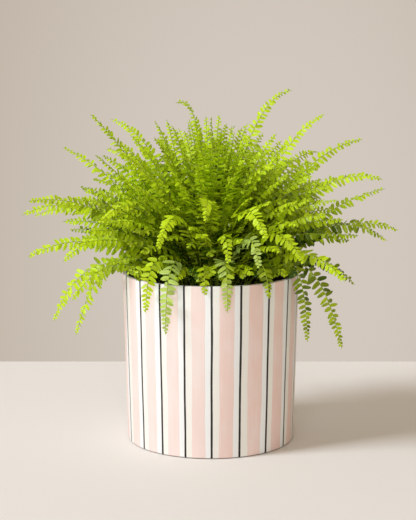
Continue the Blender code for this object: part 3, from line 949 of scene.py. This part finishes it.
def grow_young(room, leaders, draw):
    """A list for each long frond of the younger ones that are joined to its stalk."""
    young = [[] for _ in leaders]
    for i in reversed(range(YOUNG_COUNT)):
        direction = i * GOLDEN_ANGLE
        rise = (i + 0.5) / YOUNG_COUNT
        shell = draw.uniform(DOME_INNER_SHARE, 1)
        reach = DOME_RADIUS * math.sqrt(1 - rise ** 2) * shell
        height = DOME_BASE + DOME_HEIGHT * rise * shell
        crest_reach, crest_height = arching_crest(reach, height)
        roll = roll_of(direction, reach, draw)
        goal = about_axis(bud_reach(crest_reach, crest_height), direction, stock_height(0))
        hosts = [n for n in range(len(leaders)) if len(young[n]) < MOST_YOUNG]
        for number in sorted(hosts, key=lambda n: (leaders[n].root - goal).length)[:YOUNG_HOSTS]:
            root = inside_stalk(leaders[number])

            def lean(turn, lift, share):
                tip = (reach * share, height * share + lift)
                crest = (crest_reach, crest_height * share + lift * CREST_FOLLOWS)
                return frond_rib(root, direction + turn, tip, crest, YOUNG_HALF_WIDTH,
                                 YOUNG_PITCH, roll)

            rib = bent_clear(lean, room, number, YOUNG_TRIES)
            if rib:
                young[number].append(rib)
                break
    return young


# %% [markdown]
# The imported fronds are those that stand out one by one. A full grown plant has more of them again
# behind and below, which show as a mass of leaflets. These follow the younger ones' rule without
# the search, so they may cross their neighbours. Most fill a dome. The last ones lie on the rim.

# %% The undergrowth
MASS_COUNT = 220
MASS_BASE = 226 * MM
MASS_RISE = 150 * MM
MASS_RADIUS = 144 * MM
MASS_WIDER = 0.20
MASS_INNER_SHARE = 0.66
MASS_HALF_WIDTH = 10.5 * MM
MASS_ASTRAY = 0.1
CROWDING = 4 * MM
RIM_COUNT = 64
RIM_REACH = (97 * MM, 109 * MM)
RIM_TIP_HEIGHT = (196 * MM, 206 * MM)
RIM_CREST = (66 * MM, 228 * MM)


def undergrowth_sizes(draw):
    """The direction, tip and crest of each."""
    for i in range(MASS_COUNT):
        direction = i * GOLDEN_ANGLE + draw.uniform(-MASS_ASTRAY, MASS_ASTRAY)
        rise = (i + 0.5) / MASS_COUNT
        shell = draw.uniform(MASS_INNER_SHARE, 1)
        wider = 1 + MASS_WIDER * math.cos(direction) ** 2
        reach = MASS_RADIUS * math.sqrt(1 - rise ** 2) * shell * wider
        height = MASS_BASE + MASS_RISE * rise * (1 + shell) / 2
        yield direction, (reach, height), arching_crest(reach, height)
    for i in range(RIM_COUNT):
        tip = (draw.uniform(*RIM_REACH), draw.uniform(*RIM_TIP_HEIGHT))
        yield i * GOLDEN_ANGLE, tip, RIM_CREST


def grow_undergrowth(leaders, draw):
    """A list for each long frond of those that grow from its stalk."""
    grown = [[] for _ in leaders]
    for direction, tip, crest in undergrowth_sizes(draw):
        goal = about_axis(bud_reach(*crest), direction, stock_height(0))
        number = min(range(len(leaders)), key=lambda n: (
            (leaders[n].root - goal).length + len(grown[n]) * CROWDING))
        roll = roll_of(direction, tip[0], draw)
        grown[number].append(frond_rib(inside_stalk(leaders[number]), direction, tip, crest,
                                       MASS_HALF_WIDTH, YOUNG_PITCH, roll))
    return grown


# %% Grow the ribs
room = Room()
draw = random.Random(11)
leaders = grow_leaders(room, draw)
young = grow_young(room, leaders, draw)
undergrowth = grow_undergrowth(leaders, random.Random(5))
print(len(leaders), "long fronds and", sum(map(len, young)), "younger ones")
misses = [min((point - rib.tip).length for point in packed_points(f"frond_{number + 1:02d}"))
          for number, rib in enumerate(leaders)]
print("farthest tip from its packed node:", round(max(misses) / MM, 3), "mm")

# %% [markdown]
# The fine frond is a tapering stalk, a little wider than it is deep, with leaflets that leave it
# alternately left and right. They are closer together where they are shorter. Each leaflet sweeps
# towards the tip, droops a little and turns its face to the light, the more so on a frond that
# stands upright, where the leaflets look like small steps. A seeded draw varies the size and the
# angles of each.

# %% How leaflets stand on the stalk
FIRST_SHARE = 0.12
LAST_SHARE = 0.985
FIRST_LENGTH = 0.45
TIP_LENGTH = 0.17
LONG_TAPER = 1.7
SHORT_TAPER = 2.6
PITCH_BASE = 2.7 * MM
PITCH_PER_LENGTH = 0.33
WIDTH_OF_PITCH = 0.75
LENGTH_VARIES = (0.93, 1.05)
WIDTH_VARIES = (0.9, 1.08)
SEATED_AT = 0.3
SWEEP = math.radians(12)
SWEEP_AT_TIP = math.radians(30)
DROOP = math.radians(12)
FACE_UP = 0.34
LOOSE_TURN = math.radians(15)
LOOSE_SWEEP = LOOSE_TURN / 2


def fine_length(rib, share, taper):
    """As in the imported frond, but shorter ones go on down the stalk."""
    if share < BARE_SHARE:
        low = (share - FIRST_SHARE) / (BARE_SHARE - FIRST_SHARE)
        return leaflet_length(rib, BARE_SHARE) * between(FIRST_LENGTH, 1, low)
    past_longest = ((share - BARE_SHARE) / (1 - BARE_SHARE) - LONGEST_AT) / (1 - LONGEST_AT)
    if past_longest < 0:
        return leaflet_length(rib, share)
    return rib.half_width * (1 - (1 - TIP_LENGTH) * past_longest ** taper)


def leaflet_matrix(rib, share, sign, long, wide, draw):
    """The axes that stretch and turn a leaflet, and the place of its base."""
    place, side, up = rib.at(share)
    ahead = side.cross(up)
    sweep = between(SWEEP, SWEEP_AT_TIP, share) + draw.gauss(0, LOOSE_SWEEP)
    droop = DROOP + draw.gauss(0, LOOSE_TURN)
    out = side * sign * math.cos(sweep) + ahead * math.sin(sweep)
    out = (out * math.cos(droop) - up * math.sin(droop)).normalized()
    face = up.lerp(UP, FACE_UP * max(0, ahead.z))
    face = (face - out * face.dot(out)).normalized()
    face = Matrix.Rotation(draw.gauss(0, LOOSE_TURN), 3, out) @ face
    across = face.cross(out)
    axes = Matrix((out * long, across * wide, face * long)).transposed()
    return np.array(axes), np.array(place + side * sign * rib_half_width(share) * SEATED_AT)


# %% Helpers that gather a frond's mesh
# How pale a point is, by its own tone and by painted light and shade, its share of the frond's
# length, and 1 on the stalk, for the finish to read.
FACTS = ("tone_and_light", "along", "stalk")
LEAF_SHARP = math.radians(60)
STALK_SIDES = 6
STALK_STATIONS = 22
STALK_WIDTH = 0.8
STALK_HALF_DEPTH = 0.4
TONE_VARIES = 0.09


class Growth:
    """Points, faces, places on the blade and facts, gathered from stalks and leaflets."""

    def __init__(self):
        self.points, self.faces, self.flat, self.facts = [], [], [], []
        self.count = 0

    def add(self, points, faces, flat, *facts):
        self.points.append(points)
        self.faces += [tuple(self.count + i for i in face) for face in faces]
        self.flat.append(flat)
        self.facts.append(np.tile(facts, (len(points), 1)))
        self.count += len(points)

    def make(self, name, finish):
        mesh = bpy.data.meshes.new(name)
        mesh.from_pydata(np.concatenate(self.points), [], self.faces)
        corners = np.empty(len(mesh.loops), np.int32)
        mesh.loops.foreach_get("vertex_index", corners)
        flat = mesh.uv_layers.new(name="blade")
        flat.data.foreach_set("uv", np.concatenate(self.flat)[corners].astype(np.float32).ravel())
        for fact, values in zip(FACTS, np.concatenate(self.facts).T):
            attribute = mesh.attributes.new(fact, "FLOAT", "POINT")
            attribute.data.foreach_set("value", values.astype(np.float32))
        mesh.materials.append(finish.material)
        mesh.shade_smooth()
        mesh.set_sharp_from_angle(angle=LEAF_SHARP)
        piece = bpy.data.objects.new(name, mesh)
        bpy.context.scene.collection.objects.link(piece)
        return piece


def add_stalk(growth, rib, sunk, tone_and_light):
    """A tube along the rib, closed at both ends, that starts sunk below the rib's root."""
    angles = [2 * math.pi * k / STALK_SIDES for k in range(STALK_SIDES)]
    points = []
    for station in range(-1, STALK_STATIONS + 1):
        share = max(0, station) / STALK_STATIONS
        place, side, up = rib.at(share)
        if station < 0:
            place = place - rib.heading(0) * sunk
        wide = rib_half_width(share) * STALK_WIDTH
        deep = blade_depth(share) * STALK_HALF_DEPTH
        centre = place - up * deep
        points += [centre + side * wide * math.cos(a) + up * deep * math.sin(a) for a in angles]
    ends = [tuple(reversed(range(STALK_SIDES))), tuple(range(len(points)))[-STALK_SIDES:]]
    faces = ends + tube_faces(len(points), STALK_SIDES)
    growth.add(np.array(points), faces, np.zeros((len(points), 2)), tone_and_light, 0.5, 1)


def add_leaflets(growth, rib, taper, frond_tone_and_light, draw):
    share, sign = FIRST_SHARE, 1
    while share < LAST_SHARE:
        long = fine_length(rib, share, taper)
        pitch = PITCH_BASE + PITCH_PER_LENGTH * long
        axes, base = leaflet_matrix(rib, share, sign, long * draw.uniform(*LENGTH_VARIES),
                                    pitch * WIDTH_OF_PITCH * draw.uniform(*WIDTH_VARIES), draw)
        points, faces = draw.choice(RIGHT_LEAFLETS if sign > 0 else LEFT_LEAFLETS)
        growth.add(points @ axes.T + base, faces, points[:, :2] + (0, 0.5),
                   max(0, frond_tone_and_light + draw.gauss(0, TONE_VARIES)), share, 0)
        share += pitch / 2 / rib.length
        sign = -sign


# %% [markdown]
# A living fern leaf is thin enough to glow: part of the light that falls on its back comes through,
# warmer and more yellow than what the face sends back. So the finish mixes a soft satin surface
# with a translucent one. The tips of fronds and high tones are lime, the bases and low tones deep
# green, and the few highest tones take a pale painted sheen. As the tone carries painted light and
# shade as well as the leaf's own tone, the lime is in part painted light and the deep green in part
# painted shade. A paler midrib and faint side veins come from the leaflet's own UV map.

# %% The leaf's finish
# deep green of old leaves, and painted shade where the tone is low
OLD_AND_SHADED_GREEN = (0.030, 0.076, 0.0006, 1)
LIME = (0.68, 0.83, 0.012, 1)
# painted sheen: the pale green that the highest tones take
PAINTED_SHEEN = (0.60, 0.72, 0.18, 1)
VEIN_GREEN = (0.60, 0.76, 0.04, 1)
STALK_GREEN = (0.34, 0.44, 0.02, 1)
GLOW = (0.55, 0.88, 0.004, 1)
YOUNG_AND_LIT_BY_TONE, YOUNG_BY_PLACE = 0.75, 0.50
OLD_TO_YOUNG_AND_LIT = (0.38, 0.96)
TONE_TO_PAINTED_SHEEN = (1.15, 1.45)
MIDRIB_ENDS = (0.02, 0.075)
MIDRIB_PALER = 0.45
VEIN_SLANT = 0.5
VEIN_WAVES = 44
VEIN_ENDS = (0.2, 1.0)
VEIN_PALER = 0.10
VEIN_PROUD = 0.5
VEIN_HEIGHT = 0.12 * MM
SATIN_LEAF = 0.23
SATIN_PER_TONE = 0.08
LEAST_GLOW = 0.04
GLOW_WHEN_YOUNG = 0.26

leaf = Finish("fern_leaf")
tone_and_light, along, stalk = (leaf.wire("ShaderNodeAttribute", "Fac", {"attribute_name": fact})
                      for fact in FACTS)
lengthwise, crosswise, _ = leaf.parts(leaf.wire("ShaderNodeUVMap", 0, {"uv_map": "blade"}))
off_middle = abs(crosswise - 0.5)
midrib = 1 - leaf.ease(off_middle, *MIDRIB_ENDS)
waves = leaf.maths("SINE", (lengthwise - off_middle * VEIN_SLANT) * VEIN_WAVES)
side_veins = leaf.ease(waves, *VEIN_ENDS)
# the lime share: the leaf's age together with painted light and shade
young_and_lit_share = leaf.ease(tone_and_light * YOUNG_AND_LIT_BY_TONE + along * YOUNG_BY_PLACE, *OLD_TO_YOUNG_AND_LIT)
# mask of the painted sheen
painted_sheen_share = leaf.ease(tone_and_light, *TONE_TO_PAINTED_SHEEN)
green = leaf.mix(painted_sheen_share, leaf.mix(young_and_lit_share, OLD_AND_SHADED_GREEN, LIME), PAINTED_SHEEN)
paler = (midrib * MIDRIB_PALER + side_veins * VEIN_PALER) * young_and_lit_share
leaf.surface(base_color=leaf.mix(stalk, leaf.mix(paler, green, VEIN_GREEN), STALK_GREEN),
             roughness=tone_and_light * SATIN_PER_TONE + SATIN_LEAF, specular=0.28,
             normal=leaf.bump(side_veins * VEIN_PROUD - midrib, VEIN_HEIGHT))
through = leaf.wire("ShaderNodeBsdfTranslucent", 0, None, {"Color": GLOW})
glow_share = (young_and_lit_share * GLOW_WHEN_YOUNG + LEAST_GLOW) * (1 - stalk)
leaf.output(leaf.wire("ShaderNodeMixShader", 0, None,
                      {0: glow_share, 1: Wire(leaf, leaf.shader.outputs[0]), 2: through}))

# %% [markdown]
# One piece holds a long frond with the younger ones and the undergrowth that grow from its stalk,
# as its imported node does. The higher a frond's tone, the paler it is. Its tone rises with the
# height of its tip, partly since the newest stand upright in the middle and are pale and partly as
# painted light on the top of the plant, and with its distance from the crowd, so that those deep in
# the crowd carry a painted shade; the undergrowth carries a little more painted shade. A few by the
# rim have tones of their own, because they stand out in the photograph: three carry a painted sheen,
# and three at the right a painted shade of deep green.

# %% Grow every frond
STALK_SUNK = 7 * MM
TONE_SPREAD = 0.68
# painted light on higher fronds, partly their newer growth; painted light on outer fronds, painted
# shade within
TONE_YOUNG_AND_LIT_HIGHER = 0.40
TONE_LIT_OUTSIDE = 0.18
OUT_FROM, OUT_OVER = 0.7, 0.4
# painted shade: the undergrowth is darker
MASS_PAINTED_SHADE = 0.14
MOST_TONE = 0.95
# painted shade on fronds 3, 4 and 8 at the right, painted sheen on fronds 5, 7 and 38 at the front
OWN_SHADE_AND_SHEEN_TONES = {3: 0.42, 4: 0.3, 5: 1.58, 7: 1.42, 8: 0.3, 38: 1.48}
CROWD_REACH = 140 * MM
CROWD_RISE = 190 * MM


def tone_and_light_of(rib, draw):
    """Rises with the height of the tip and with its distance from the crowd, on a random tone: partly
    newer growth, and painted light high up and outside, painted shade deep in the crowd.
    """
    rise = (rib.tip.z - POT_HEIGHT) / CROWD_RISE
    out = math.hypot(rib.tip.xy.length / CROWD_REACH, (rib.tip.z - stock_height(0)) / CROWD_RISE)
    outer = max(0, min(1, (out - OUT_FROM) / OUT_OVER))
    return draw.uniform(0, TONE_SPREAD) + TONE_YOUNG_AND_LIT_HIGHER * min(1, rise) + TONE_LIT_OUTSIDE * outer


leaf_draw = random.Random(23)
total = 0
for number, rib in enumerate(leaders):
    growth = Growth()
    for k, each in enumerate([rib] + young[number] + undergrowth[number]):
        painted_shade = MASS_PAINTED_SHADE if k > len(young[number]) else 0
        frond_tone_and_light = min(MOST_TONE, tone_and_light_of(each, leaf_draw) - painted_shade)
        if k == 0:
            frond_tone_and_light = OWN_SHADE_AND_SHEEN_TONES.get(number + 1, frond_tone_and_light)
        add_stalk(growth, each, STALK_SUNK if k == 0 else 0, frond_tone_and_light)
        add_leaflets(growth, each, LONG_TAPER if k == 0 else SHORT_TAPER, frond_tone_and_light, leaf_draw)
    node = f"frond_{number + 1:02d}"
    piece = growth.make(f"{node}_leafy", leaf)
    total += sum(len(face) - 2 for face in growth.faces)
    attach(piece, "root")
    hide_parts(node)
print("fronds hold", total, "triangles")
